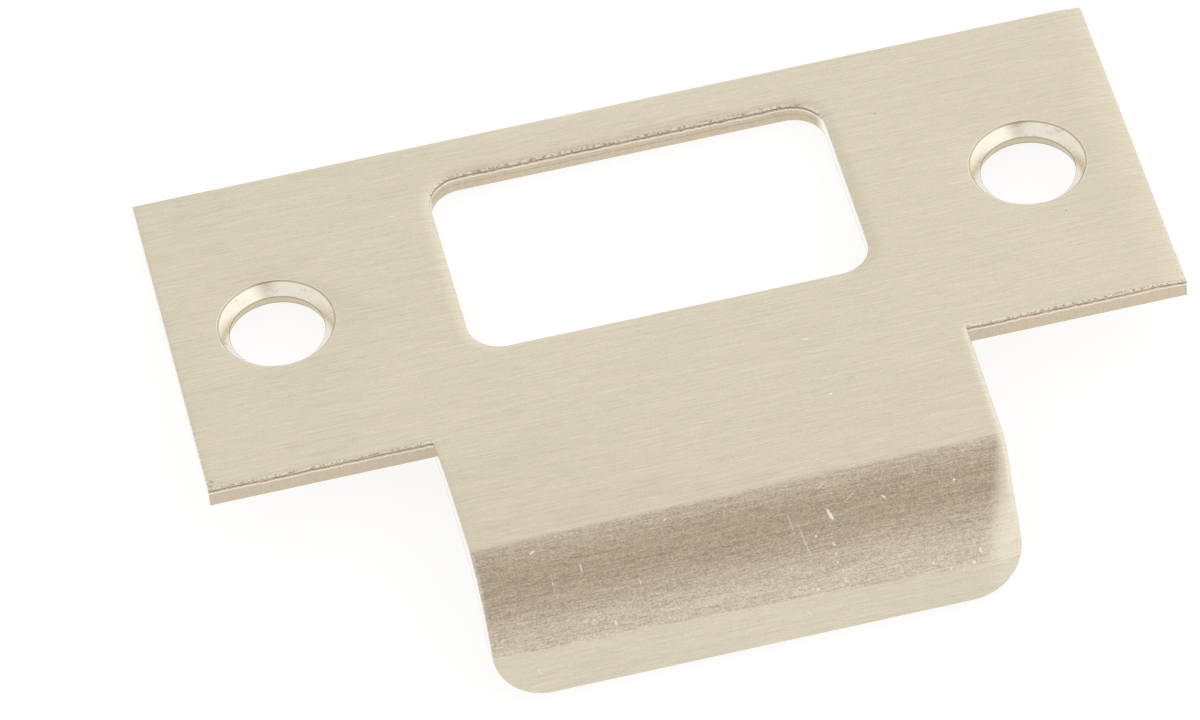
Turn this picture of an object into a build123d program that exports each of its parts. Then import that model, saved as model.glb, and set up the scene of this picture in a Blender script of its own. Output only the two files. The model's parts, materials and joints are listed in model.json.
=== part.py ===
"""Door strike plate: a T of sheet steel whose stem is bent down into a curved lip.

It lies with its face up. X runs along the plate, +Y points away from the lip and
+Z out of the face. The origin is on the back face, midway between the two screw holes.
Sizes are in millimetres and angles in degrees.
"""

import os
from math import radians, tan

from build123d import *

# The sheet and the crossbar of the T
sheet = 1.5875
plate_length = 69.85
plate_width = 28.575
corner_radius = 0.2

# Blanking draws the face down a little all round, so its edges are rounded
edge_roll = 0.12

# The hole that the latch bolt drops into, set back from the lip
opening_length = 28.9
opening_width = 17.3
opening_corner_radius = 2.5
opening_setback = 7.6

# Two countersunk holes on the plate's middle line
screw_spacing = 54.5
screw_hole_diameter = 6.76
countersink_diameter = 8.24
countersink_angle = 82.0

# The stem of the T, followed along its face: a flat root, then it sags a little,
# creases, rolls over and ends in a short straight skirt
lip_width = 38.1
lip_root = 1.0
lip_reach = 10.2
lip_sag_angle = 4.4
crease_radius = 3.0
crease_angle = 8.0
roll_radius = 7.2
roll_angle = 65.0
skirt_length = 3.4
lip_corner_radius = 3.9

# Places worked out from the sizes above
plate_front = -plate_width / 2
plate_back = plate_width / 2
opening_middle = plate_front + opening_setback + opening_width / 2
lip_start = plate_front - lip_root
sag_radius = (lip_reach - lip_root) / radians(lip_sag_angle)
countersink_depth = (countersink_diameter - screw_hole_diameter) / 2 / tan(radians(countersink_angle / 2))


def face_line():
    """The face seen from the side, in Y and Z: its flat part, then the bent lip."""
    flat = Line((plate_back, sheet), (lip_start, sheet))
    sag = JernArc(flat @ 1, flat % 1, sag_radius, lip_sag_angle)
    crease = JernArc(sag @ 1, sag % 1, crease_radius, crease_angle)
    roll = JernArc(crease @ 1, crease % 1, roll_radius, roll_angle)
    skirt = Line(roll @ 1, roll @ 1 + (roll % 1) * skirt_length)
    return flat, Wire([sag, crease, roll, skirt])


def lip_blank():
    """The bent part of the stem, one sheet thick and still square at its corners."""
    _, bent = face_line()
    section = make_face(offset(bent, amount=sheet, side=Side.LEFT, closed=True))
    return extrude(Plane.YZ * section, amount=lip_width / 2, both=True)


def plate_blank():
    """The flat T: the crossbar and the root of the stem, with small radii at its corners."""
    crossbar = Rectangle(plate_length, plate_width)
    root = Pos(0, plate_front) * Rectangle(lip_width, lip_root, align=(Align.CENTER, Align.MAX))
    outline = crossbar + root
    corners = outline.vertices().sort_by(Axis.Y)[2:]
    return extrude(fillet(corners, corner_radius), amount=sheet)


def latch_opening():
    """The cutter for the hole that the latch bolt drops into."""
    outline = RectangleRounded(opening_length, opening_width, opening_corner_radius)
    return Pos(0, opening_middle, 0) * extrude(outline, amount=sheet)


def screw_hole():
    """The cutter for one countersunk screw hole, from the face down."""
    shank = Cylinder(
        screw_hole_diameter / 2, sheet, align=(Align.CENTER, Align.CENTER, Align.MAX)
    )
    head = Cone(
        screw_hole_diameter / 2,
        countersink_diameter / 2,
        countersink_depth,
        align=(Align.CENTER, Align.CENTER, Align.MAX),
    )
    return Pos(0, 0, sheet) * (shank + head)


def lip_end_corners(blank):
    """The two short edges through the sheet at the corners of the lip's end."""
    through_sheet = blank.edges().filter_by(
        lambda edge: edge.geom_type == GeomType.LINE and abs(edge.length - sheet) < 1e-3
    )
    return through_sheet.sort_by(Axis.Z)[:2]


def rolled_edges(blank):
    """The outline of the face and of its opening, where the blanking tool drew it down."""
    flat, bent = face_line()
    seen_from_side = Plane.YZ * Wire([flat, *bent.edges()])

    def is_face(surface):
        middle = surface.position_at(0.5, 0.5)
        return seen_from_side.distance_to(Vector(0, middle.Y, middle.Z)) < 1e-3

    edges = blank.faces().filter_by(is_face).edges()
    return ShapeList(edge for edge in edges if edges.count(edge) == 1)


def strike_plate():
    """The whole plate: blanked, pierced, bent and countersunk."""
    plate = plate_blank() + lip_blank()
    plate = fillet(lip_end_corners(plate), lip_corner_radius)
    plate -= latch_opening()
    plate = fillet(rolled_edges(plate), edge_roll)
    for side in (-1, 1):
        plate -= Pos(side * screw_spacing / 2, 0, 0) * screw_hole()
    return plate


def main():
    os.makedirs("parts", exist_ok=True)
    part = strike_plate()
    part.label = "strike_plate"
    export_step(part, "parts/strike_plate.step")


if __name__ == "__main__":
    main()
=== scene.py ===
"""Builds the looks of a door strike plate in satin nickel: the blanked and bent sheet,
its brushed face, its sheared edges and its turned countersinks, on a pale floor.

It is laid out as an add-on. Each part of the work is an operator, and the sizes and
colours that a user would change are in property groups. Lengths are in metres. The
plate lies with its face up: X runs along it, +Y points away from its lip and +Z out
of its face, and the origin is on its back, midway between the two screw holes.
"""

import json
from functools import partial
from math import atan, atan2, cos, hypot, pi, radians, sin, tan

import bmesh
import bpy
from mathutils import Euler, Matrix, Vector
from mathutils.geometry import normal as plane_normal


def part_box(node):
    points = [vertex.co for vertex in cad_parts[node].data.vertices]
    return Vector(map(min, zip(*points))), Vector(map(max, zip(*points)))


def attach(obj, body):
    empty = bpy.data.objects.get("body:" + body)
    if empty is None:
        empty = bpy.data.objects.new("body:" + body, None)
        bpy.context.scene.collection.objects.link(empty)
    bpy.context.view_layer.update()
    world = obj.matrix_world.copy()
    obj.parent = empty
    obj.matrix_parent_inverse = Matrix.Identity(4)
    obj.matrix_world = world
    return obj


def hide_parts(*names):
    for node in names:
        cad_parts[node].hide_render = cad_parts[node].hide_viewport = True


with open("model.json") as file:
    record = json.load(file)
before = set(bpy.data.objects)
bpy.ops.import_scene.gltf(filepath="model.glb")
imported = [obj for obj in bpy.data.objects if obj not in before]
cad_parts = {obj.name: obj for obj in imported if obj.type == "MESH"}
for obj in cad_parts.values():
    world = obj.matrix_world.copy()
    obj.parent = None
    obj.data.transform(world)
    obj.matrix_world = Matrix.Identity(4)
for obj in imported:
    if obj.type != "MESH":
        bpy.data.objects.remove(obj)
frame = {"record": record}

bl_info = {
    "name": "Door strike plate",
    "version": (1, 0, 0),
    "blender": (4, 5, 0),
    "location": "3D View > Sidebar > Strike plate",
    "description": "Models a satin nickel door strike plate and a studio for it",
    "category": "Object",
}

MM = 0.001
NODE = "strike_plate"
PLATE = "satin_nickel_plate"
# Within this reach the front edges carry painted glints and a plain brown tint.
EDGE_REACH = 0.3 * MM  # how far in from an edge of the face it is rubbed and soiled
EASE = 0.04 * MM  # a narrow ring beside each rounded edge, which keeps the shading of the flats true
MERGE = 0.0015 * MM  # points nearer to each other than this become one
SAME_LEVEL = 1e-7  # heights and stations nearer to each other than this count as one, in metres
CORNER_STEPS = 16  # facets round a corner of the lip or of the opening
EDGE_STEPS = 4  # facets from the face into a sheared wall
RIM_STEPS = 5  # facets from the face into a countersink
HOLE_SIDES = 96
DROOP_CUTS = 12  # cuts along the plate across each strip that falls away
SHARP_ANGLE = radians(32)  # an edge that turns more than this isn't shaded smooth
WALL_RISE = 0.3  # a face is a wall where the height of its unit normal is less than this
FORMED_FROM = "place_in_blank"  # each point's place in the flat blank, before it is bent
FROM_EDGE = "share_from_edge"  # 0 on the walls, rising to 1 at the edge's reach into the face
BOX_LOW, BOX_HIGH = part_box(NODE)
MOUNTS = {mount["name"]: mount for mount in frame["record"]["mounts"]}
SCREW_HOLES = MOUNTS["screw_holes"]["dims"]
# Painted glints: this strength lights a bright mark's core past its own colour.
MARK_STRENGTH = 2.4  # turns a mark's peak into a core of full tone

# Marks of handling on the face, the bright ones lit past their colour as painted glints: X, the
# distance down the face from the back edge, half the length and width, the turn from X towards
# the lip, all in mm and degrees, and the tone, which is below zero on a dark pit
WEAR_MARKS_AND_GLINTS = (
    (6.0, 41.95, 0.55, 0.13, 68, 1.3),
    (5.9, 44.0, 0.2, 0.1, 30, 0.8),
    (5.95, 44.7, 0.14, 0.1, 90, 0.7),
    (6.2, 46.0, 0.16, 0.09, 80, 0.7),
    (6.28, 46.8, 0.2, 0.11, 70, 0.9),
    (4.75, 43.2, 0.12, 0.1, 0, 0.8),
    (16.05, 46.7, 0.28, 0.1, 80, 1.2),
    (15.5, 47.6, 0.22, 0.12, 50, 0.8),
    (14.3, 46.3, 0.25, 0.08, 20, 0.5),
    (13.8, 47.7, 0.2, 0.1, 80, 0.5),
    (14.7, 48.0, 0.2, 0.1, 80, 0.4),
    (9.9, 41.5, 0.25, 0.1, 40, 0.5),
    (15.0, 41.4, 0.12, 0.1, 0, 0.6),
    (5.8, 39.75, 0.45, 0.07, -40, 0.5),
    (3.45, 48.8, 0.5, 0.08, 66, 0.35),
    (-10.15, 46.2, 0.25, 0.09, 85, 0.8),
    (-14.9, 40.1, 0.25, 0.09, -20, 0.8),
    (-11.8, 41.9, 0.45, 0.07, 88, 0.45),
    (-7.95, 43.7, 0.2, 0.08, 80, 0.5),
    (-15.95, 48.8, 0.4, 0.08, 65, 0.35),
    (-5.4, 39.8, 0.3, 0.08, -50, 0.4),
    (3.2, 42.2, 1.1, 0.05, 80, 0.35),
    (3.9, 43.3, 1.9, 0.05, 78, 0.35),
    (-13.95, 42.5, 0.8, 0.05, 90, 0.3),
    (8.07, 26.5, 0.2, 0.12, 10, 0.9),
    (8.43, 32.07, 0.16, 0.14, 0, 0.7),
    (-17.3, 6.4, 0.35, 0.06, 5, 0.5),
    (18.07, 6.4, 0.12, 0.12, 0, -0.2),
    (28.6, 19.7, 0.12, 0.12, 0, -0.2),
    (-34.55, 27.9, 0.26, 0.16, 45, -0.2),
    (-34.7, 28.3, 0.2, 0.12, 20, -0.2),
    (7.6, 41.0, 0.7, 0.05, -35, 0.4),
    (5.9, 45.3, 0.12, 0.1, 0, 0.8),
    (6.5, 47.3, 0.12, 0.09, 0, 0.7),
    (4.3, 47.0, 0.12, 0.09, 0, 0.5),
    (12.6, 46.9, 0.15, 0.07, 80, 0.5),
)


def length(name, description, millimetres):
    """A length that a user may change, given in millimetres."""
    return bpy.props.FloatProperty(
        name=name, description=description, default=millimetres * MM,
        min=0.0, precision=5, unit="LENGTH", subtype="DISTANCE",
    )


def angle(name, description, degrees):
    """An angle that a user may change, given in degrees."""
    return bpy.props.FloatProperty(
        name=name, description=description, default=radians(degrees),
        unit="ROTATION", subtype="ANGLE",
    )


def linear(hex_colour):
    """The linear red, green and blue of an sRGB colour such as D8CFBB."""
    parts = [int(hex_colour[i:i + 2], 16) / 255 for i in (0, 2, 4)]
    return [c / 12.92 if c <= 0.04045 else ((c + 0.055) / 1.055) ** 2.4 for c in parts]


def colour(name, description, hex_colour):
    """A colour that a user may change, given as sRGB hex."""
    return bpy.props.FloatVectorProperty(
        name=name, description=description, default=linear(hex_colour),
        size=3, min=0.0, max=1.0, subtype="COLOR",
    )


class PlateSizes(bpy.types.PropertyGroup):
    """The flat blank: a T of sheet metal with a rolled edge round its face."""
    sheet: length("Sheet", "Thickness of the sheet", BOX_HIGH[2] / MM)
    plate_length: length("Length", "The crossbar of the T, along X", 2 * BOX_HIGH[0] / MM)
    plate_width: length("Width", "The crossbar of the T, along Y", 2 * BOX_HIGH[1] / MM)
    edge_radius: length("Edge radius", "Radius where the face turns into a sheared wall", 0.09)
    drawn_width: length("Drawn width", "How far in blanking draws the face down", 0.28)
    drawn_depth: length("Drawn depth", "How far down the face is at its edge", 0.035)
    droop_width: length("Droop width", "How far in from its +X end the crossbar falls away", 2.4)
    droop_depth: length("Droop depth", "How far the crossbar has fallen at that end", 0.13)


class LipSizes(bpy.types.PropertyGroup):
    """The stem of the T, followed along its face from the crossbar to its end."""
    width: length("Width", "The stem of the T, along X", 38.1)
    root: length("Root", "The stretch that stays flat", 1.0)
    sag_length: length("Sag", "The stretch that sags a little", 9.2)
    sag_angle: angle("Sag angle", "How far the sagging stretch turns down", 4.4)
    crease_radius: length("Crease radius", "Radius of the crease before the roll", 3.0)
    crease_angle: angle("Crease angle", "How far the crease turns down", 8.0)
    roll_radius: length("Roll radius", "Radius of the roll, at its face", 7.2)
    roll_angle: angle("Roll angle", "How far the roll turns down", 65.0)
    skirt: length("Skirt", "The straight stretch at the end", 3.4)
    corner_radius: length("Corners", "Radius at the corners of the lip's end", 3.9)
    narrowing: length("Narrowing", "How far bending draws each side of the face in", 0.36)
    back_narrowing: length("Back narrowing", "The same on the back of the lip", 0.26)
    droop_start: length("Droop start", "How wide the fall at its +X side is down to the roll", 0.55)
    droop_width: length("Droop width", "How wide that fall is past the roll", 2.7)
    droop_slope: angle("Droop slope", "How steep the fall is at the lip's side", 9.0)


class OpeningSizes(bpy.types.PropertyGroup):
    """The hole that the latch bolt drops into."""
    opening_length: length("Length", "Along X", 28.9)
    opening_width: length("Width", "Along Y", 17.3)
    corner_radius: length("Corners", "Radius at its corners", 2.5)
    setback: length("Setback", "From the front of the crossbar to the opening", 7.6)
    edge_radius: length("Edge radius", "Radius where the face turns into the wall", 0.1)
    drawn_width: length("Drawn width", "How far round it piercing draws the face down", 0.9)
    drawn_depth: length("Drawn depth", "How far down the face is at its edge", 0.12)


class ScrewHoleSizes(bpy.types.PropertyGroup):
    """Two countersunk holes on the plate's middle line."""
    spacing: length("Spacing", "Between the middles of the holes", SCREW_HOLES["spacing_x_mm"])
    radius: length("Radius", "Of the hole below its countersink", SCREW_HOLES["hole_r_mm"])
    countersink_radius: length("Countersink radius", "Where the cone meets the face", 4.16)
    cone: angle("Cone", "Included angle of the countersink", 82.0)
    rim: length("Rim", "How far the softened rim reaches each way", 0.08)
    flare: length("Flare", "How much wider than its top the hole is at the back", 0.14)


class FinishColours(bpy.types.PropertyGroup):
    """Colours of the plating where it is brushed, plain, sheared and turned, some of them also used for
    painted light and shade.
    """
    brushed: colour("Brushed", "The brushed face", "E0D6C0")
    # The bend colour is darker partly as painted shade, where the roll mirrors the dim side of the room.
    bend: colour("Bend", "The coarser skin on the roll of the lip", "D0C4B0")
    # The scuffed colour also lights the painted glints and the painted sheen on the lip's +X side.
    scuffs_and_glints: colour("Scuffed", "Small nicks that have been rubbed bright", "FFFBF0")
    # The burnished colour also serves as the painted reflection that makes the walls facing along X nearly
    # white.
    burnish_and_reflection: colour("Burnished", "The smooth parts of a sheared edge", "FFFBF2")
    fracture: colour("Fractured", "The rough parts of a sheared edge", "D0C2AA")
    # The turned colour is lighter partly as a painted highlight of the bright light that the cones mirror.
    turned: colour("Turned", "The countersinks", "F6EFDF")
    # The stain colour is also the painted shadow of the dark lines on the sheared walls.
    stain_and_shadow: colour("Stain", "Brown plating residue in creases", "8E7858")
    floor: colour("Floor", "The floor under the plate", "F4F4F4")
    dim_side: colour("Dim side", "The dimmer part of the room, above and before the plate", "CFC6BC")


class StudioSettings(bpy.types.PropertyGroup):
    """Where the camera stands, and how bright the room is."""
    azimuth: angle("Azimuth", "Heading of the camera, from +Y towards +X", 8.4652)
    elevation: angle("Elevation", "How far above the plate's plane the camera stands", 46.3952)
    roll: angle("Roll", "How far the camera is turned about its own axis", -5.9885)
    distance: length("Distance", "From the camera to the point that it aims at", 585.41)
    aim_x: bpy.props.FloatProperty(
        name="Aim X", description="Where the camera aims, along the plate",
        default=-5.9623 * MM, unit="LENGTH", subtype="DISTANCE",
    )
    aim_y: bpy.props.FloatProperty(
        name="Aim Y", description="Where the camera aims, across the plate",
        default=-8.5694 * MM, unit="LENGTH", subtype="DISTANCE",
    )
    lens: bpy.props.FloatProperty(
        name="Lens", description="Focal length in millimetres on a 36 mm wide sensor",
        default=251.369, min=1.0,
    )
    floor_size: length("Floor", "Side of the square floor", 3000.0)


def mesh_being_edited():
    """The edit mesh of the active object."""
    return bmesh.from_edit_mesh(bpy.context.object.data)


def select(kind, test):
    """Selects the visible verts, edges or faces that pass a test, and nothing else."""
    bpy.ops.mesh.select_mode(type={"verts": "VERT", "edges": "EDGE", "faces": "FACE"}[kind])
    bpy.ops.mesh.select_all(action="DESELECT")
    mesh = mesh_being_edited()
    for element in getattr(mesh, kind):
        if not element.hide and test(element):
            element.select_set(True)
    mesh.select_flush_mode()
    bmesh.update_edit_mesh(bpy.context.object.data)


def middle(element):
    """The middle of an edge or face."""
    return sum((vertex.co for vertex in element.verts), Vector()) / len(element.verts)


def start_mesh(name):
    """Starts an empty mesh object at the origin and opens it for editing."""
    bpy.ops.object.select_all(action="DESELECT")
    bpy.ops.mesh.primitive_plane_add(size=1)
    piece = bpy.context.object
    piece.name = piece.data.name = name
    bpy.ops.object.mode_set(mode="EDIT")
    bpy.ops.mesh.select_all(action="SELECT")
    bpy.ops.mesh.delete(type="VERT")
    return piece


def add_rectangle(size_x, size_y, place):
    """Adds a flat rectangle to the mesh being edited and leaves it selected."""
    bpy.ops.mesh.select_mode(type="VERT")
    bpy.ops.mesh.select_all(action="DESELECT")
    bpy.ops.mesh.primitive_plane_add(size=1, location=place)
    bpy.ops.transform.resize(value=(size_x, size_y, 1), center_override=place)


def round_corners(test, radius):
    """Rounds the corner points that pass a test, within the plane of their face."""
    select("verts", test)
    bpy.ops.mesh.bevel(
        affect="VERTICES", offset_type="OFFSET", offset=radius, segments=CORNER_STEPS, profile=0.5
    )


def whole_face(face):
    """Tells the one flat face that fills the outline or a hole from the rings round it."""
    return abs(face.normal.z) > 0.99 and len(face.verts) > CORNER_STEPS


def step_in(face_test, inward, upward):
    """Carries a face inwards and along its normal by one ring, and keeps it selected."""
    select("faces", face_test)
    if inward:
        bpy.ops.mesh.inset(thickness=inward, depth=upward, use_even_offset=True)
    else:
        bpy.ops.mesh.extrude_region_move(TRANSFORM_OT_translate={"value": (0, 0, upward)})


def drawn_edge(sizes):
    """The section of a drawn edge as points from the flat face out to the wall: how far in
    from the wall and how far below the face."""
    slope = atan(2 * sizes.drawn_depth / sizes.drawn_width)
    turned = pi / 2 - slope
    shoulder = sizes.edge_radius * (1 - cos(turned))
    points = [(shoulder + sizes.drawn_width + EASE, 0.0)]
    for share in (1.0, 0.8, 0.6, 0.4, 0.2, 0.0):
        points.append((shoulder + sizes.drawn_width * share, sizes.drawn_depth * (1 - share) ** 2))
    for step in reversed(range(EDGE_STEPS)):
        turn = turned * step / EDGE_STEPS
        drop = sizes.edge_radius * (sin(turned) - sin(turn))
        points.append((sizes.edge_radius * (1 - cos(turn)), sizes.drawn_depth + drop))
    points.append((0.0, points[-1][1] + EASE))
    return points


def blank_outline(plate, lip, lip_length):
    """The T as one flat face on the plane of the back, with the lip's corners rounded."""
    front = -plate.plate_width / 2
    add_rectangle(lip.width, plate.plate_width, (0, 0, 0))
    wing = (plate.plate_length - lip.width) / 2
    for test, move in (
        (lambda e: middle(e).x > lip.width / 2 - MM, (wing, 0, 0)),
        (lambda e: middle(e).x < -lip.width / 2 + MM, (-wing, 0, 0)),
        (lambda e: middle(e).y < front + MM and abs(middle(e).x) < MM, (0, -lip_length, 0)),
    ):
        select("edges", test)
        bpy.ops.mesh.extrude_region_move(TRANSFORM_OT_translate={"value": move})
    select("edges", lambda e: len(e.link_faces) == 2)
    bpy.ops.mesh.dissolve_edges(use_verts=False)
    bpy.ops.mesh.select_all(action="SELECT")
    bpy.ops.mesh.normals_make_consistent(inside=False)

    lip_end = front - lip_length
    round_corners(lambda v: v.co.y < lip_end + MM, lip.corner_radius)


def lip_stations(plate, lip):
    """Where the blank is bent: Y in the blank and the turn made there, from root to end."""
    y = -plate.plate_width / 2 - lip.root
    # Each stretch's length along the face, its turn and its number of bends
    stretches = (
        (lip.sag_length, lip.sag_angle, 12),
        (lip.crease_radius * lip.crease_angle, lip.crease_angle, 8),
        (lip.roll_radius * lip.roll_angle, lip.roll_angle, 44),
    )
    stations = []
    for stretch, turn, steps in stretches:
        for i in range(steps):
            stations.append((y - stretch * (i + 0.5) / steps, turn / steps))
        y -= stretch
    return stations, y - lip.skirt


class STRIKEPLATE_OT_plate(bpy.types.Operator):
    """Blanks, pierces and bends the plate"""
    bl_idname = "strike_plate.plate"
    bl_label = "Plate"

    def execute(self, context):
        scene = context.scene
        plate, lip = scene.strike_plate, scene.strike_plate_lip
        opening, hole = scene.strike_plate_opening, scene.strike_plate_holes
        stations, lip_end = lip_stations(plate, lip)
        piece = start_mesh(PLATE)

        blank_outline(plate, lip, -plate.plate_width / 2 - lip_end)
        raise_blank(plate)
        cut_opening(plate, opening)
        for side in (-1, 1):
            cut_screw_hole(plate, hole, side)
        close_faces(plate)
        for side in (-1, 1):
            flare_screw_hole(hole, side)
        cut_stations(plate, lip, [y for y, _ in stations])
        remember_blank(piece, plate, lip, opening, lip_end)
        droop_ends(piece, plate, lip)
        bend_lip(plate, stations)
        narrow_lip(piece, plate, lip)
        bpy.ops.object.mode_set(mode="OBJECT")
        bpy.ops.object.shade_smooth_by_angle(angle=SHARP_ANGLE)
        finish_surfaces(piece, plate, hole, scene.strike_plate_colours)
        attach(piece, "root")
        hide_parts(NODE)
        return {"FINISHED"}


def raise_blank(plate):
    """Gives the blank its thickness, and draws down the outline of its face."""
    def upper_face(face):
        return whole_face(face) and middle(face).z > top - SAME_LEVEL

    points = drawn_edge(plate)[::-1]
    points.insert(0, (0.0, plate.sheet))
    top = 0.0
    for (inside, drop), (next_inside, next_drop) in zip(points, points[1:]):
        step_in(upper_face, next_inside - inside, drop - next_drop)
        top += drop - next_drop
    select("faces", whole_face)
    bpy.ops.mesh.delete(type="ONLY_FACE")
    bpy.ops.mesh.select_all(action="SELECT")
    bpy.ops.mesh.hide()


def sink(moves, height):
    """Takes the one open face down through the sheet, ring by ring, then opens its end."""
    for inward, downward in moves:
        select("faces", lambda f: whole_face(f) and abs(middle(f).z - height) < SAME_LEVEL)
        if inward:
            bpy.ops.mesh.inset(thickness=inward, depth=0.0, use_even_offset=True)
            bpy.ops.transform.translate(value=(0, 0, -downward))
        else:
            bpy.ops.mesh.extrude_region_move(
                TRANSFORM_OT_translate={"value": (0, 0, -downward)}
            )
        height -= downward
    select("faces", whole_face)
    bpy.ops.mesh.delete(type="ONLY_FACE")
    bpy.ops.mesh.select_all(action="SELECT")
    bpy.ops.mesh.hide()


def cut_opening(plate, opening):
    """The latch opening, with its upper edge drawn down by the punch."""
    points = drawn_edge(opening)
    margin = points[0][0]
    centre_y = opening_centre(plate, opening)
    add_rectangle(
        opening.opening_length + 2 * margin, opening.opening_width + 2 * margin,
        (0, centre_y, plate.sheet),
    )
    round_corners(lambda v: True, opening.corner_radius + margin)
    points.append((0.0, plate.sheet))
    sink([(a[0] - b[0], b[1] - a[1]) for a, b in zip(points, points[1:])], plate.sheet)


def opening_centre(plate, opening):
    """The middle of the latch opening along Y."""
    return -plate.plate_width / 2 + opening.setback + opening.opening_width / 2


def cut_screw_hole(plate, hole, side):
    """One countersunk hole, from its softened rim down to the back."""
    tilt = pi / 2 - hole.cone / 2
    rounding = hole.rim / tan(tilt / 2)
    outside = hole.countersink_radius + hole.rim
    points = [(outside + EASE, 0.0)]
    for step in range(RIM_STEPS + 1):
        turn = tilt * step / RIM_STEPS
        points.append((outside - rounding * sin(turn), rounding * (1 - cos(turn))))
    cone_fall = (points[-1][0] - hole.radius) * tan(tilt)
    bottom = points[-1][1] + cone_fall
    points += [(hole.radius + EASE / 4, bottom - EASE / 2), (hole.radius, bottom)]
    points.append((hole.radius, plate.sheet))
    bpy.ops.mesh.primitive_circle_add(
        vertices=HOLE_SIDES, radius=points[0][0], fill_type="NGON",
        location=(side * hole.spacing / 2, 0, plate.sheet),
    )
    sink([(a[0] - b[0], b[1] - a[1]) for a, b in zip(points, points[1:])], plate.sheet)


def flare_screw_hole(hole, side):
    """Widens a screw hole towards the back, where the punch broke through."""
    centre = Vector((side * hole.spacing / 2, 0, 0))
    reach = hole.radius + hole.rim
    select("verts", lambda v: v.co.z < SAME_LEVEL and (v.co - centre).length < reach)
    wider = 1 + hole.flare / hole.radius
    bpy.ops.transform.resize(value=(wider, wider, 1), center_override=centre)


def close_faces(plate):
    """Fills the face and the back between the outline and the holes."""
    bpy.ops.mesh.reveal(select=False)
    for height in (0, plate.sheet):
        select("edges", lambda e: e.is_boundary and abs(middle(e).z - height) < SAME_LEVEL)
        bpy.ops.mesh.fill(use_beauty=False)
        bpy.ops.mesh.dissolve_limited(angle_limit=radians(0.5))
    bpy.ops.mesh.select_all(action="SELECT")
    bpy.ops.mesh.normals_make_consistent(inside=False)


def cut_stations(plate, lip, bends):
    """Cuts the blank across at each bend, and along near the ends that droop."""
    cuts = [((0, y, 0), (0, 1, 0)) for y in bends]
    for end, width in ((plate.plate_length / 2, plate.droop_width), (lip.width / 2, lip.droop_width)):
        for i in range(1, DROOP_CUTS + 1):
            cuts.append(((end - width * i / DROOP_CUTS, 0, 0), (1, 0, 0)))
    for point, normal in cuts:
        bpy.ops.mesh.select_all(action="SELECT")
        bpy.ops.mesh.bisect(plane_co=point, plane_no=normal)
    bpy.ops.mesh.select_all(action="SELECT")
    bpy.ops.mesh.remove_doubles(threshold=MERGE)


def inside_rounded(x, y, half_x, half_y, radius):
    """How far a point is inside a rounded rectangle round the origin, negative outside."""
    over_x, over_y = abs(x) - half_x + radius, abs(y) - half_y + radius
    return radius - hypot(max(over_x, 0), max(over_y, 0)) - min(max(over_x, over_y), 0)


def share_from_edge(place, plate, lip, opening, lip_end):
    """0 at the outline and at the opening, rising to 1 at the edge's reach into the face."""
    stem_middle = (plate.plate_width / 2 + lip_end) / 2
    half_stem = plate.plate_width / 2 - stem_middle
    inside = max(
        inside_rounded(place.x, place.y, plate.plate_length / 2, plate.plate_width / 2, 0.0),
        inside_rounded(place.x, place.y - stem_middle, lip.width / 2, half_stem, lip.corner_radius),
    )
    outside = -inside_rounded(
        place.x, place.y - opening_centre(plate, opening),
        opening.opening_length / 2, opening.opening_width / 2, opening.corner_radius,
    )
    return min(1.0, max(0.0, min(inside, outside) / EDGE_REACH))


def remember_blank(piece, plate, lip, opening, lip_end):
    """Keeps every point's place in the flat blank, which the finishes follow."""
    bpy.ops.object.mode_set(mode="OBJECT")
    attributes = piece.data.attributes
    attributes.new(FORMED_FROM, "FLOAT_VECTOR", "POINT")
    attributes.new(FROM_EDGE, "FLOAT", "POINT")
    for vertex in piece.data.vertices:
        share = share_from_edge(vertex.co, plate, lip, opening, lip_end)
        attributes[FORMED_FROM].data[vertex.index].vector = vertex.co
        attributes[FROM_EDGE].data[vertex.index].value = share
    bpy.ops.object.mode_set(mode="EDIT")


def droop_ends(piece, plate, lip):
    """Lets the face fall away towards the +X ends of the crossbar and of the lip."""
    front = -plate.plate_width / 2
    mesh = mesh_being_edited()
    for vertex in mesh.verts:
        x, y, z = vertex.co
        if y < front - EASE / 2:
            past_crease = front - y - lip.root - lip.sag_length
            along = min(1.0, max(0.0, past_crease / (lip.roll_radius * lip.roll_angle)))
            width = lip.droop_start + (lip.droop_width - lip.droop_start) * along
            depth = width * tan(lip.droop_slope) / 2
            end = lip.width / 2
        else:
            width, depth, end = plate.droop_width, plate.droop_depth, plate.plate_length / 2
        share = max(0.0, 1 - (end - x) / width)
        vertex.co.z -= depth * share ** 2 * z / plate.sheet
    bmesh.update_edit_mesh(piece.data)


def smooth(value):
    """Rises from 0 to 1 with level ends as a value goes from 0 to 1."""
    value = min(1.0, max(0.0, value))
    return value * value * (3 - 2 * value)


def bend_lip(plate, stations):
    """Bends the stem down, a little at each station, from its end back to its root."""
    for y, turn in reversed(stations):
        pivot = (0, y, plate.sheet)
        for test, share in (
            (lambda v: v.co.y < y - SAME_LEVEL, 1.0),
            (lambda v: abs(v.co.y - y) <= SAME_LEVEL, 0.5),
        ):
            select("verts", test)
            bpy.ops.transform.rotate(
                value=-turn * share, orient_axis="X", orient_type="GLOBAL", center_override=pivot
            )


def narrow_lip(piece, plate, lip):
    """Draws the lip's sides in, more on its face than on its back, as bending does. The -X
    side draws in from the root on, and the other one only in the roll."""
    mesh = mesh_being_edited()
    formed_from = mesh.verts.layers.float_vector[FORMED_FROM]
    for vertex in mesh.verts:
        blank = vertex[formed_from]
        along = (-plate.plate_width / 2 - blank.y) / (lip.root + lip.sag_length)
        amount = min(1.0, max(0.0, along)) ** 0.5
        if blank.x > 0:
            amount = smooth((along - 1) * 2)
        height = blank.z / plate.sheet
        drawn = lip.narrowing * height + lip.back_narrowing * (1 - height)
        vertex.co.x *= 1 - amount * drawn / (lip.width / 2)
    bmesh.update_edit_mesh(piece.data)


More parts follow.
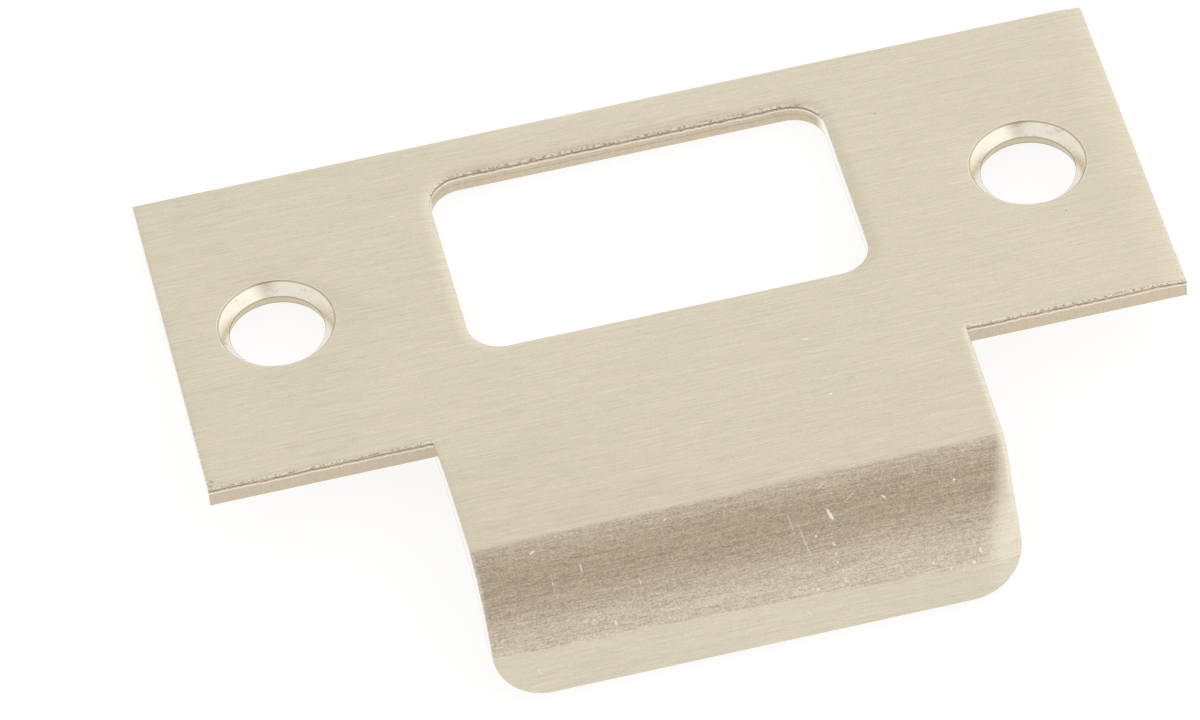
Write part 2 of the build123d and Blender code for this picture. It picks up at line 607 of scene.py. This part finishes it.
def finish_surfaces(piece, plate, hole, colours):
    """Gives each face of the mesh the finish of its surface, by its place in the blank."""
    for build in (brushed_nickel, sheared_edge, turned_nickel, plain_nickel):
        piece.data.materials.append(build(plate, colours))
    brushed, sheared, turned, plain = range(4)
    blank = [Vector(p.vector) for p in piece.data.attributes[FORMED_FROM].data]
    for polygon in piece.data.polygons:
        corners = [blank[i] for i in polygon.vertices]
        from_axis = max(hypot(abs(c.x) - hole.spacing / 2, c.y) for c in corners)
        if from_axis < hole.countersink_radius + hole.rim + EASE / 2:
            polygon.material_index = turned
        elif max(c.z for c in corners) < SAME_LEVEL:
            polygon.material_index = plain
        elif abs(plane_normal(corners).z) < WALL_RISE:
            polygon.material_index = sheared
        else:
            polygon.material_index = brushed


def add_node(tree, kind, inputs=None, **settings):
    """Adds a node, sets its properties, and sets its inputs or links them to other nodes."""
    node = tree.nodes.new("ShaderNode" + kind)
    for name, value in settings.items():
        setattr(node, name, value)
    for name, value in (inputs or {}).items():
        if isinstance(value, bpy.types.Node):
            value = next(socket for socket in value.outputs if socket.enabled)
        if isinstance(value, bpy.types.NodeSocket):
            tree.links.new(value, node.inputs[name])
        else:
            node.inputs[name].default_value = value
    return node


def new_material(name):
    """A material with an empty node tree."""
    material = bpy.data.materials.new(name)
    material.use_nodes = True
    material.node_tree.nodes.clear()
    return material, material.node_tree


def place_in_blank(tree):
    """Each point's place in the flat blank, in millimetres."""
    place = add_node(tree, "Attribute", attribute_name=FORMED_FROM)
    return add_node(tree, "VectorMath", {0: place.outputs["Vector"], "Scale": 1 / MM}, operation="SCALE")


def add_grain(tree, place, start, *grains):
    """A value with random grain added. Each grain has the size of its cells along X, Y and Z in
    millimetres, how many finer octaves it holds, and how much it counts."""
    total = start - sum(amount for _, _, amount in grains) / 2
    # Each grain is moved by its own size and octaves, so that no two of them line up
    for size, octaves, amount in grains:
        cell = add_node(tree, "Mapping", {
            "Vector": place, "Location": (size[0], size[1], octaves), "Scale": [1 / s for s in size],
        })
        noise = add_node(tree, "TexNoise", {
            "Vector": cell, "Scale": 1.0, "Detail": octaves, "Roughness": 0.6,
        })
        total = add_node(tree, "Math", {0: noise, 1: amount, 2: total}, operation="MULTIPLY_ADD")
    return total


def metal(tree, tone, level, roughness, height, depth, anisotropy=0.0):
    """The shader of the plated metal: its tone, evenness, gloss and relief, in millimetres."""
    shade = add_node(tree, "VectorMath", {0: tone, "Scale": level}, operation="SCALE")
    relief = add_node(tree, "Bump", {"Height": height, "Distance": depth * MM})
    inputs = {
        "Base Color": shade, "Metallic": 1.0, "Roughness": roughness,
        "Normal": relief, "Anisotropic": anisotropy,
    }
    if anisotropy:
        inputs["Tangent"] = add_node(tree, "Tangent", direction_type="RADIAL", axis="X")
    shader = add_node(tree, "BsdfPrincipled", inputs)
    add_node(tree, "OutputMaterial", {"Surface": shader})


def fallen_side(tree, place, plate):
    """1 on the strip at the lip's +X side where its face falls away, widening down the roll."""
    add = partial(add_node, tree)
    lip = bpy.context.scene.strike_plate_lip
    front = -plate.plate_width / 2 / MM
    crease = front - (lip.root + lip.sag_length) / MM
    parts = add("SeparateXYZ", {0: place}).outputs
    width = add("MapRange", {
        "Value": parts["Y"], "From Min": crease, "From Max": crease - lip.roll_radius * lip.roll_angle / MM,
        "To Min": lip.droop_start / MM, "To Max": lip.droop_width / MM,
    })
    from_side = add("Math", {0: lip.width / 2 / MM, 1: parts["X"]}, operation="SUBTRACT")
    share = add("Math", {0: from_side, 1: width}, operation="DIVIDE")
    outer, inner = 1.2, 0.5  # its soft border, as shares of the strip's width
    strip = add("MapRange", {
        "Value": share, "From Min": outer, "From Max": inner,
    }, interpolation_type="SMOOTHSTEP")
    on_lip = add("Math", {0: parts["Y"], 1: front}, operation="LESS_THAN")
    return add("Math", {0: strip, 1: on_lip}, operation="MULTIPLY")


def bend_band(tree, place, plate):
    """1 on the roll of the lip, where the belt didn't reach, and the same for the skirt past
    it. The borders are slightly ragged."""
    add = partial(add_node, tree)
    lip = bpy.context.scene.strike_plate_lip
    root = -plate.plate_width / 2 - lip.root - lip.sag_length
    upper = root / MM - 0.02
    lower = (root - lip.crease_radius * lip.crease_angle - lip.roll_radius * lip.roll_angle) / MM
    parts = add("SeparateXYZ", {0: place}).outputs
    ragged = add_grain(tree, place, 0.0, ((3.0, 0.5, 1.0), 3.0, 0.5), ((0.5, 0.12, 1.0), 2.0, 0.35))
    uneven = add("Math", {0: parts["Y"], 1: ragged})
    upper_lean, lower_lean = -0.008, 0.027  # how much each border leans along the plate
    upper_y = add("Math", {0: parts["X"], 1: upper_lean, 2: uneven}, operation="MULTIPLY_ADD")
    lower_y = add("Math", {0: parts["X"], 1: lower_lean, 2: uneven}, operation="MULTIPLY_ADD")
    below_upper = add("MapRange", {
        "Value": upper_y, "From Min": upper + 0.12, "From Max": upper - 0.42,
    }, interpolation_type="SMOOTHSTEP")
    above_lower = add("MapRange", {
        "Value": lower_y, "From Min": lower - 0.14, "From Max": lower + 0.1,
    }, interpolation_type="SMOOTHSTEP")
    band = add("Math", {0: below_upper, 1: above_lower}, operation="MULTIPLY")
    skirt = add("Math", {0: 1.0, 1: above_lower}, operation="SUBTRACT")
    return band, skirt


def wear_marks_and_glints(tree, place, plate):
    """Small nicks, made bright as painted glints, and dark pits below zero, where the plate has been handled.
    """
    total = 0.0
    for x, along, half_length, half_width, turn, tone in WEAR_MARKS_AND_GLINTS:
        y = plate.plate_width / 2 / MM - along
        mapped = add_node(tree, "Mapping", {
            "Vector": place, "Location": (x, y, plate.sheet / MM),
            "Rotation": (0, 0, radians(-turn)), "Scale": (half_length, half_width, 1),
        }, vector_type="TEXTURE")
        spot = add_node(tree, "TexGradient", {0: mapped}, gradient_type="SPHERICAL")
        strength = {0: spot.outputs["Fac"], 1: MARK_STRENGTH * tone, 2: total}
        total = add_node(tree, "Math", strength, operation="MULTIPLY_ADD")
    return total


def edge_specks(tree, place, plate):
    """Broken specks on the edges that face the lip, where the press left its burr: first bright
    ones, which are painted glints, then a brown tint, which covers all that edge."""
    add = partial(add_node, tree)
    edge = add("Attribute", attribute_name=FROM_EDGE).outputs["Fac"]
    near = add("MapRange", {"Value": edge, "From Min": 0.9, "From Max": 0.0})
    facing = add("SeparateXYZ", {0: add("NewGeometry").outputs["Normal"]}).outputs["Y"]
    forward = add("MapRange", {"Value": facing, "From Min": -0.04, "From Max": -0.16})
    margin = 0.1  # in millimetres, so that the crossbar's own front edge is in
    front = -plate.plate_width / 2 / MM - margin
    on_crossbar = add("Math", {0: add("SeparateXYZ", {0: place}).outputs["Y"], 1: front},
                      operation="GREATER_THAN")
    worked = add("Math", {0: forward, 1: on_crossbar}, operation="MULTIPLY")
    near = add("Math", {0: near, 1: worked}, operation="MULTIPLY")
    broken = add_grain(tree, place, 0.5, ((0.2, 0.2, 0.2), 3.0, 1.0))
    # Painted glints: the bright specks along the burr.
    bright = add("MapRange", {"Value": broken, "From Min": 0.46, "From Max": 0.54})
    brown = add("MapRange", {
        "Value": broken, "From Min": 0.5, "From Max": 0.34, "To Min": 0.16, "To Max": 0.62,
    })
    return [add("Math", {0: near, 1: speck}, operation="MULTIPLY") for speck in (bright, brown)]


def brushed_nickel(plate, colours):
    """Satin nickel on steel, brushed by a belt along X. Fine even streaks on a warm grey; on the roll of the
    lip, which the belt missed, a coarser skin, made slightly darker as painted shade for the dim room it
    mirrors."""
    material, tree = new_material("brushed_satin_nickel")
    add = partial(add_node, tree)
    place = place_in_blank(tree)
    band, skirt = bend_band(tree, place, plate)
    fallen = fallen_side(tree, place, plate)
    band = add("Math", {0: band, 1: add("Math", {0: 1.0, 1: fallen}, operation="SUBTRACT")},
               operation="MULTIPLY")
    # Cells along, across and through the sheet, in mm and matched. The hairs of a brushed
    # finish are too fine to show, so they are drawn as coarse as they need to show
    streak, hair, dust = (5.0, 0.16, 1.0), (1.6, 0.08, 1.0), (0.14, 0.09, 1.0)
    cloud, grit = (9.0, 3.0, 1.0), (0.24, 0.13, 1.0)
    level = add_grain(
        tree, place, 1.0, (streak, 3.0, 0.26), (hair, 2.0, 0.32), (dust, 1.0, 0.24), (cloud, 2.0, 0.06)
    )
    coarse = add_grain(
        tree, place, 0.0, (streak, 3.0, 0.16), (hair, 2.0, 0.3), (grit, 2.0, 0.5), (dust, 1.0, 0.7)
    )
    level = add("Math", {0: coarse, 1: band, 2: level}, operation="MULTIPLY_ADD")
    # Painted shade: the skirt past the roll is made 7% darker.
    level = add("Math", {0: skirt, 1: -0.07, 2: level}, operation="MULTIPLY_ADD")
    marks = wear_marks_and_glints(tree, place, plate)
    pits = add("Math", {0: marks, 1: 0.0}, operation="MINIMUM")
    level = add("Math", {0: level, 1: pits})
    burr, brown_edge_tint = edge_specks(tree, place, plate)
    # Painted glints: the bright nicks and the bright specks on the front edges are mixed towards the light
    # colour.
    rubbed = add("Math", {0: marks, 1: burr}, operation="MAXIMUM", use_clamp=True)
    # Painted shade: the roll's colour is darker, for the dim side of the room that it mirrors, as well as
    # coarser.
    tone = add("Mix", {0: band, 6: (*colours.brushed, 1), 7: (*colours.bend, 1)}, data_type="RGBA")
    # Painted sheen: the strip where the lip's +X side falls away is lightened towards the bright nick colour.
    painted_sheen = add("Math", {0: fallen, 1: 0.15}, operation="MULTIPLY")
    tone = add("Mix", {0: painted_sheen, 6: tone, 7: (*colours.scuffs_and_glints, 1)}, data_type="RGBA")
    # A plain brown tint along the edges that face the lip.
    tone = add("Mix", {0: brown_edge_tint, 6: tone, 7: (*colours.stain_and_shadow, 1)}, data_type="RGBA")
    tone = add("Mix", {0: rubbed, 6: tone, 7: (*colours.scuffs_and_glints, 1)}, data_type="RGBA")
    gloss = add_grain(tree, place, 0.3, (streak, 3.0, 0.08), (hair, 2.0, 0.08))
    roughness = add("Math", {0: rubbed, 1: 0.4, 2: gloss}, operation="MULTIPLY_ADD")
    lines = add_grain(tree, place, 0.0, (streak, 3.0, 0.8), (hair, 2.0, 0.8), (dust, 1.0, 0.4))
    peel = add_grain(tree, place, 0.0, (grit, 2.0, 3.0), (hair, 2.0, 1.5), (dust, 1.0, 1.0))
    height = add("Math", {0: peel, 1: band, 2: lines}, operation="MULTIPLY_ADD")
    metal(tree, tone, level, roughness, height, 0.005, anisotropy=0.6)
    return material


def opening_walls(tree, parts, plate):
    """1 on the walls of the latch opening, whose lines sit a little higher, with a faint second dark line low
    down and painted shade towards the top.
    """
    opening = bpy.context.scene.strike_plate_opening
    reach_x = (opening.opening_length / 2 + opening.drawn_width) / MM
    reach_y = (opening.opening_width / 2 + opening.drawn_width) / MM
    centre_y = opening_centre(plate, opening) / MM
    along = add_node(tree, "Math", {0: parts["X"], 1: 0.0, 2: reach_x}, operation="COMPARE")
    across = add_node(tree, "Math", {0: parts["Y"], 1: centre_y, 2: reach_y}, operation="COMPARE")
    return add_node(tree, "Math", {0: along, 1: across}, operation="MULTIPLY")


def sheared_edge(plate, colours):
    """The sheet's edge as the press leaves it, then plated: a torn beige wall with a bright line and a
    dark line, painted shadow, high on it. The walls that face along X are smoother, and painted nearly white
    as a painted reflection of the bright floor."""
    material, tree = new_material("sheared_edge_plated")
    add = partial(add_node, tree)
    place = place_in_blank(tree)
    parts = add("SeparateXYZ", {0: place}).outputs
    wander = add_grain(tree, place, 0.0, ((1.6, 1.6, 50.0), 3.0, 0.26), ((0.3, 0.3, 50.0), 2.0, 0.2))
    height_in_sheet = add("Math", {0: parts["Z"], 1: wander})
    pierced = opening_walls(tree, parts, plate)
    level_up = add("Math", {0: pierced, 1: 0.06, 2: height_in_sheet}, operation="MULTIPLY_ADD")
    # Each line's height above the back and half its width, in millimetres
    bright_line = add("Math", {0: level_up, 1: 1.12, 2: 0.06}, operation="COMPARE")
    dark_line = add("Math", {0: level_up, 1: 1.35, 2: 0.06}, operation="COMPARE")
    low_line = add("Math", {0: level_up, 1: 0.66, 2: 0.07}, operation="COMPARE")
    facing = add("SeparateXYZ", {0: add("NewGeometry").outputs["Normal"]}).outputs
    sideways = add("Math", {0: facing["X"]}, operation="ABSOLUTE")
    end_wall = add("MapRange", {"Value": sideways, "From Min": 0.86, "From Max": 0.99})
    torn = add("Math", {0: pierced, 1: end_wall}, operation="SUBTRACT", use_clamp=True)
    low_line = add("Math", {0: low_line, 1: torn}, operation="MULTIPLY")
    dark_line = add("Math", {0: low_line, 1: 0.35, 2: dark_line}, operation="MULTIPLY_ADD")
    # Painted reflection: walls that face along X turn nearly white, for the bright floor they mirror.
    tone = add("Mix", {0: end_wall, 6: (*colours.fracture, 1), 7: (*colours.burnish_and_reflection, 1)}, data_type="RGBA")
    shine = add("Math", {0: bright_line, 1: 0.6}, operation="MULTIPLY")
    tone = add("Mix", {0: shine, 6: tone, 7: (*colours.burnish_and_reflection, 1)}, data_type="RGBA")
    foot = add("Math", {0: parts["Z"], 1: 0.0, 2: 0.1}, operation="COMPARE")
    foot = add("Math", {0: foot, 1: end_wall}, operation="MULTIPLY")
    # Painted shadow: the dark lines and the foot of the walls that face along X are mixed towards brown.
    lines = add("Math", {0: dark_line, 1: foot}, operation="MAXIMUM")
    patchy = add_grain(tree, place, 0.7, ((0.35, 0.35, 0.35), 2.0, 1.6))
    shadow = add("Math", {0: lines, 1: patchy}, operation="MULTIPLY", use_clamp=True)
    tone = add("Mix", {0: shadow, 6: tone, 7: (*colours.stain_and_shadow, 1)}, data_type="RGBA")
    # Torn grain, and marks dragged down through the sheet, as cells in mm, matched
    mottle, drag = (0.5, 0.5, 0.3), (0.12, 0.12, 1.5)
    level = add_grain(tree, place, 1.0, (mottle, 3.0, 0.26), (drag, 2.0, 0.2))
    # Painted shade: the opening's walls, except those facing along X, darken towards their top.
    above = add("MapRange", {"Value": level_up, "From Min": 1.15, "From Max": 1.3, "To Max": -0.1})
    level = add("Math", {0: torn, 1: above, 2: level}, operation="MULTIPLY_ADD")
    # Painted reflection: the walls that face along X are also made a little brighter.
    level = add("Math", {0: end_wall, 1: 0.04, 2: level}, operation="MULTIPLY_ADD")
    gloss = add_grain(tree, place, 0.36, (mottle, 3.0, 0.2))
    roughness = add("Math", {0: end_wall, 1: -0.16, 2: gloss}, operation="MULTIPLY_ADD")
    relief = add_grain(tree, place, 0.0, (mottle, 3.0, 1.0), (drag, 2.0, 0.5))
    metal(tree, tone, level, roughness, relief, 0.015)
    return material


def turned_nickel(plate, colours):
    """The countersinks, turned before plating: bright, partly from that finish and partly as a painted
    highlight, with faint rings, brown lines at the rim, where the cone meets the land and at the back, and
    brown smears where plating salts dried, above a thin beige land."""
    material, tree = new_material("turned_nickel")
    add = partial(add_node, tree)
    place = place_in_blank(tree)
    hole = bpy.context.scene.strike_plate_holes
    parts = add("SeparateXYZ", {0: place}).outputs
    side = add("Math", {0: parts["X"]}, operation="ABSOLUTE")
    across = add("Math", {0: side, 1: hole.spacing / 2 / MM}, operation="SUBTRACT")
    from_middle = add("CombineXYZ", {"X": across, "Y": parts["Y"]})
    radius = add("VectorMath", {0: from_middle}, operation="LENGTH")
    from_axis = add("CombineXYZ", {"X": radius, "Y": parts["Z"]})
    cone_end = plate.sheet / MM - (hole.countersink_radius - hole.radius) / tan(hole.cone / 2) / MM
    on_land = add("MapRange", {"Value": parts["Z"], "From Min": cone_end + 0.03, "From Max": cone_end - 0.03})
    # Each line's height above the back and half its width, in millimetres
    cone_line = add("Math", {0: parts["Z"], 1: cone_end, 2: 0.06}, operation="COMPARE")
    foot_line = add("Math", {0: parts["Z"], 1: 0.0, 2: 0.1}, operation="COMPARE")
    rim_line = add("Math", {0: parts["Z"], 1: plate.sheet / MM - 0.05, 2: 0.045}, operation="COMPARE")
    lines = add("Math", {0: cone_line, 1: foot_line}, operation="MAXIMUM")
    lines = add("Math", {0: lines, 1: rim_line}, operation="MAXIMUM")
    # Painted highlight: the light turned colour stands partly for the bright light that the cones mirror.
    tone = add("Mix", {0: on_land, 6: (*colours.turned, 1), 7: (*colours.fracture, 1)}, data_type="RGBA")
    smears = add_grain(tree, place, 0.5, ((1.4, 1.1, 0.6), 3.0, 1.0), ((0.3, 0.2, 0.2), 2.0, 0.4))
    smeared = add("MapRange", {"Value": smears, "From Min": 0.58, "From Max": 0.85, "To Max": 0.6})
    stained = add("Math", {0: lines, 1: 0.55}, operation="MULTIPLY")
    stained = add("Math", {0: stained, 1: smeared}, operation="MAXIMUM")
    tone = add("Mix", {0: stained, 6: tone, 7: (*colours.stain_and_shadow, 1)}, data_type="RGBA")
    # Rings by radius and height, and smears by place, as cells in mm, matched
    ring, smear = (0.06, 0.06, 1.0), (0.9, 0.35, 0.5)
    turned_rings = add_grain(tree, from_axis, 0.0, (ring, 2.0, 0.1))
    level = add("Math", {0: turned_rings, 1: add_grain(tree, place, 1.0, (smear, 2.0, 0.14))})
    roughness = add_grain(tree, place, 0.24, (smear, 2.0, 0.2))
    metal(tree, tone, level, roughness, turned_rings, 0.02)
    return material


def plain_nickel(plate, colours):
    """The back: the same plating on mill-rolled sheet, not brushed, so duller and blotchy."""
    material, tree = new_material("plain_plated_back")
    place = place_in_blank(tree)
    blotch, mill_grain = (3.0, 2.2, 2.0), (2.5, 0.3, 1.0)
    level = add_grain(tree, place, 0.93, (blotch, 4.0, 0.16), (mill_grain, 3.0, 0.12))
    share = add_grain(tree, place, 0.5, (blotch, 4.0, 1.0))
    tone = add_node(tree, "Mix", {
        0: share, 6: (*colours.brushed, 1), 7: (*colours.fracture, 1),
    }, data_type="RGBA")
    roughness = add_grain(tree, place, 0.42, (blotch, 4.0, 0.2))
    relief = add_grain(tree, place, 0.0, (mill_grain, 3.0, 1.0), (blotch, 4.0, 1.0))
    metal(tree, tone, level, roughness, relief, 0.004)
    return material


class STRIKEPLATE_OT_stage(bpy.types.Operator):
    """Lays a pale floor under the plate, lights it evenly and sets the camera"""
    bl_idname = "strike_plate.stage"
    bl_label = "Studio"

    def execute(self, context):
        scene = context.scene
        lay_floor(scene)
        light_room(scene)
        set_camera(scene)
        scene.view_settings.view_transform = "Standard"
        return {"FINISHED"}


def lay_floor(scene):
    """A floor that touches the plate's back edge and the end of its lip."""
    lip, settings = scene.strike_plate_lip, scene.strike_plate_studio
    fall = lip.sag_angle + lip.crease_angle + lip.roll_angle
    toe = Vector((0, BOX_LOW[1] + scene.strike_plate.sheet * sin(fall), BOX_LOW[2]))
    heel = Vector((0, BOX_HIGH[1], 0))
    tilt = atan2(heel.z - toe.z, heel.y - toe.y)
    bpy.ops.object.select_all(action="DESELECT")
    bpy.ops.mesh.primitive_plane_add(
        size=settings.floor_size, location=(toe + heel) / 2, rotation=(tilt, 0, 0)
    )
    floor = bpy.context.object
    floor.name = floor.data.name = "floor"
    floor.data.materials.append(pale_floor(scene.strike_plate_colours))


def pale_floor(colours):
    """Matt white board: white to the camera and in reflections, but for the plate's shadow."""
    glow, glow_strength = 0.75, 1.12  # the share that glows leaves the rest to show the shadow
    material, tree = new_material("pale_matt_floor")
    add = partial(add_node, tree)
    path = add("LightPath").outputs
    seen = add("Math", {0: path["Is Camera Ray"], 1: path["Is Glossy Ray"]}, operation="MAXIMUM")
    seen = add("Math", {0: seen, 1: path["Is Transmission Ray"]}, operation="MAXIMUM")
    share = add("Math", {0: seen, 1: glow}, operation="MULTIPLY")
    matt = add("BsdfDiffuse", {"Color": (*colours.floor, 1)})
    white = add("Emission", {"Color": (1, 1, 1, 1), "Strength": glow_strength})
    mixed = add("MixShader", {0: share, 1: matt, 2: white})
    clear = add("BsdfTransparent")
    below = add("NewGeometry").outputs["Backfacing"]
    one_sided = add("MixShader", {0: below, 1: mixed, 2: clear})
    add("OutputMaterial", {"Surface": one_sided})
    return material


def light_room(scene):
    """Even white light from all round, a little brighter towards +X, with a dimmer and
    warmer patch above and before the plate that the roll of its lip mirrors."""
    world = bpy.data.worlds.new("studio")
    scene.world = world
    world.use_nodes = True
    tree = world.node_tree
    tree.nodes.clear()
    add = partial(add_node, tree)
    direction = add("TexCoord").outputs["Generated"]
    narrower = 3.0  # the patch is this much narrower along X than it is deep
    patch, core, rim = (0.1 * narrower, -0.42, 0.9), 0.3, 1.08  # its direction and its two radii
    squashed = add("VectorMath", {0: direction, 1: (narrower, 1.0, 1.0)}, operation="MULTIPLY")
    away = add("VectorMath", {0: squashed, 1: patch}, operation="DISTANCE")
    lit = add("MapRange", {"Value": away, "From Min": core, "From Max": rim}, interpolation_type="SMOOTHSTEP")
    dim = scene.strike_plate_colours.dim_side
    light = add("Mix", {0: lit, 6: (*dim, 1), 7: (1, 1, 1, 1)}, data_type="RGBA")
    side = add("SeparateXYZ", {0: direction}).outputs["X"]
    level = add("MapRange", {
        "Value": side, "From Min": -0.05, "From Max": 0.4, "To Min": 0.88, "To Max": 1.12,
    })
    light = add("VectorMath", {0: light, "Scale": level}, operation="SCALE")
    seen = add("LightPath").outputs["Is Camera Ray"]
    light = add("Mix", {0: seen, 6: light, 7: (1, 1, 1, 1)}, data_type="RGBA")
    background = add("Background", {"Color": light, "Strength": 1.0})
    add("OutputWorld", {"Surface": background})


def set_camera(scene):
    """The photograph's long lens, looking down at the plate from before it."""
    settings = scene.strike_plate_studio
    data = bpy.data.cameras.new("camera")
    data.lens, data.sensor_width = settings.lens, 36.0
    data.clip_start, data.clip_end = 0.01, 10.0
    camera = bpy.data.objects.new("camera", data)
    scene.collection.objects.link(camera)
    turn = Euler((pi / 2 - settings.elevation, 0, -settings.azimuth), "XYZ").to_matrix()
    turn = turn @ Matrix.Rotation(settings.roll, 3, "Z")
    back = turn @ Vector((0, 0, 1))
    aim = Vector((settings.aim_x, settings.aim_y, 0))
    camera.matrix_world = Matrix.Translation(aim + back * settings.distance) @ turn.to_4x4()
    scene.camera = camera


class STRIKEPLATE_PT_panel(bpy.types.Panel):
    """Lists the steps that build the plate and its studio"""
    bl_idname = "STRIKEPLATE_PT_panel"
    bl_label = "Strike plate"
    bl_space_type = "VIEW_3D"
    bl_region_type = "UI"
    bl_category = "Strike plate"

    def draw(self, context):
        for operator in OPERATORS:
            self.layout.operator(operator.bl_idname)
        for settings in SETTINGS:
            group = getattr(context.scene, settings)
            box = self.layout.box()
            for name in group.__annotations__:
                box.prop(group, name)


SETTINGS = {
    "strike_plate": PlateSizes,
    "strike_plate_lip": LipSizes,
    "strike_plate_opening": OpeningSizes,
    "strike_plate_holes": ScrewHoleSizes,
    "strike_plate_colours": FinishColours,
    "strike_plate_studio": StudioSettings,
}
OPERATORS = (STRIKEPLATE_OT_plate, STRIKEPLATE_OT_stage)


def register():
    """Registers the settings, the operators and the panel."""
    for name, group in SETTINGS.items():
        bpy.utils.register_class(group)
        setattr(bpy.types.Scene, name, bpy.props.PointerProperty(type=group))
    for operator in OPERATORS:
        bpy.utils.register_class(operator)
    bpy.utils.register_class(STRIKEPLATE_PT_panel)


def unregister():
    """Takes away what register added."""
    bpy.utils.unregister_class(STRIKEPLATE_PT_panel)
    for operator in reversed(OPERATORS):
        bpy.utils.unregister_class(operator)
    for name, group in SETTINGS.items():
        delattr(bpy.types.Scene, name)
        bpy.utils.unregister_class(group)


def main():
    register()
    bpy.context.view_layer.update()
    bpy.ops.strike_plate.plate()
    bpy.ops.strike_plate.stage()


if __name__ == "__main__":
    main()
